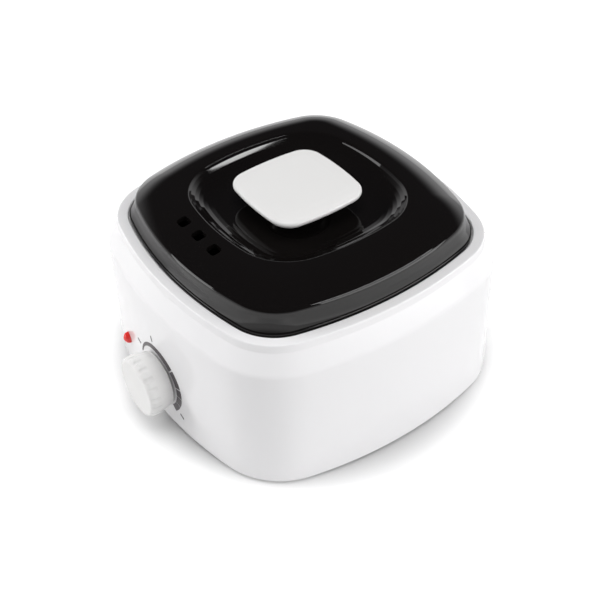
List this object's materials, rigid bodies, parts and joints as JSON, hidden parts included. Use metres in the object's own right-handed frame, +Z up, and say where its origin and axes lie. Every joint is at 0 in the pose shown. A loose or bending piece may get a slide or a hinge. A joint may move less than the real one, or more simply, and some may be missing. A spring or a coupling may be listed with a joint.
{
  "type": "wax warmer pot",
  "caption": "Square wax warmer with bulged sides, lift-out pot with a bail, smoked lid with a square knob, dial thermostat and indicator lamp.",
  "frame": {"origin": "on the surface that the feet stand on, under the middle of the casing", "axes": "+X to the right as seen from the dial side, +Y from the dial side to the back, +Z up"},
  "size_m": [0.18, 0.1976, 0.113],
  "materials": {
    "casing_white": "white moulded plastic, glossy",
    "knob_white": "white moulded plastic, satin gloss",
    "lid_smoked": "dark smoked plastic, very glossy, slightly see-through",
    "pedestal_dark": "near-black plastic, glossy",
    "dial_print": "dark grey print",
    "lens_red": "translucent red lens",
    "foot_rubber": "soft black rubber",
    "silicone_red": "heat-resistant silicone",
    "well_aluminium": "drawn aluminium sheet",
    "pot_aluminium": "drawn aluminium, satin",
    "bail_steel": "plated steel",
    "fixings": "zinc-plated steel",
    "inner_steel": "plated sheet steel",
    "heater_mica": "layered mica",
    "insulation_felt": "pressed glass-fibre felt",
    "inner_plastic": "pale moulded plastic",
    "inner_plastic_dark": "dark moulded plastic",
    "sensor_copper": "copper tube",
    "terminal_brass": "brass",
    "fuse_ceramic": "ceramic body",
    "lamp_glass": "small neon lamp",
    "grip_black": "moulded rubber sleeve",
    "wire_brown": "wire insulation",
    "wire_white": "heat-resistant sleeve",
    "wire_blue": "wire insulation",
    "wire_red": "wire insulation",
    "wire_green": "wire insulation"
  },
  "bodies": {
    "housing": {"outer_casing": "casing_white", "casing_deck": "casing_white", "base_plate": "casing_white", "base_screws": "fixings", "rubber_feet": "foot_rubber", "cord_gland": "foot_rubber", "cord_clamp": "inner_plastic", "clamp_screws": "fixings", "heating_well": "well_aluminium", "flange_gasket": "silicone_red", "well_clips": "fixings", "bottom_heater": "heater_mica", "heater_plate": "inner_steel", "heater_nut": "fixings", "side_heater": "heater_mica", "heater_band": "inner_steel", "band_screw": "fixings", "insulation_sleeve": "insulation_felt", "heat_shield": "well_aluminium", "shield_screws": "fixings", "thermostat": "inner_plastic_dark", "thermostat_nut": "fixings", "sensor_bulb": "sensor_copper", "bulb_clips": "inner_steel", "sensor_tube": "sensor_copper", "thermal_fuse": "fuse_ceramic", "fuse_clip": "inner_steel", "terminal_block": "inner_plastic", "terminal_screws": "terminal_brass", "indicator_lens": "lens_red", "lens_ring": "inner_plastic", "neon_lamp": "lamp_glass", "dial_scale": "dial_print", "live_wire": "wire_brown", "heater_wire": "wire_white", "fuse_wire": "wire_blue", "lamp_wires": "wire_red", "earth_wire": "wire_green"},
    "control": {"control_knob": "knob_white", "thermostat_shaft": "inner_steel", "knob_spring": "fixings"},
    "pot": {"inner_pot": "pot_aluminium", "pot_ears": "bail_steel", "ear_rivets": "pot_aluminium"},
    "bail": {"bail_handle": "bail_steel", "bail_grip": "grip_black"},
    "lid": {"lid_shell": "lid_smoked", "knob_plate": "knob_white", "knob_pedestal": "pedestal_dark", "lid_screw": "fixings", "lid_washer": "fixings"}
  },
  "joints": [
    {"name": "control_turn", "type": "hinge", "parent": "housing", "child": "control", "pos_m": [0, -0.09, 0.028], "axis": [0, 1, 0], "range_deg": [0, 218]},
    {"name": "pot_lift", "type": "slide", "parent": "housing", "child": "pot", "axis": [0, 0, 1], "range_m": [0, 0.1]},
    {"name": "lid_lift", "type": "slide", "parent": "pot", "child": "lid", "axis": [0, 0, 1], "range_m": [0, 0.2]},
    {"name": "bail_swing", "type": "hinge", "parent": "pot", "child": "bail", "pos_m": [0, 0, 0.0949], "axis": [1, 0, 0], "range_deg": [0, 180]}
  ],
  "couplings": [
    {"joint": "bail_swing", "follows": "lid_lift", "rad_per_m": 15.707}
  ]
}
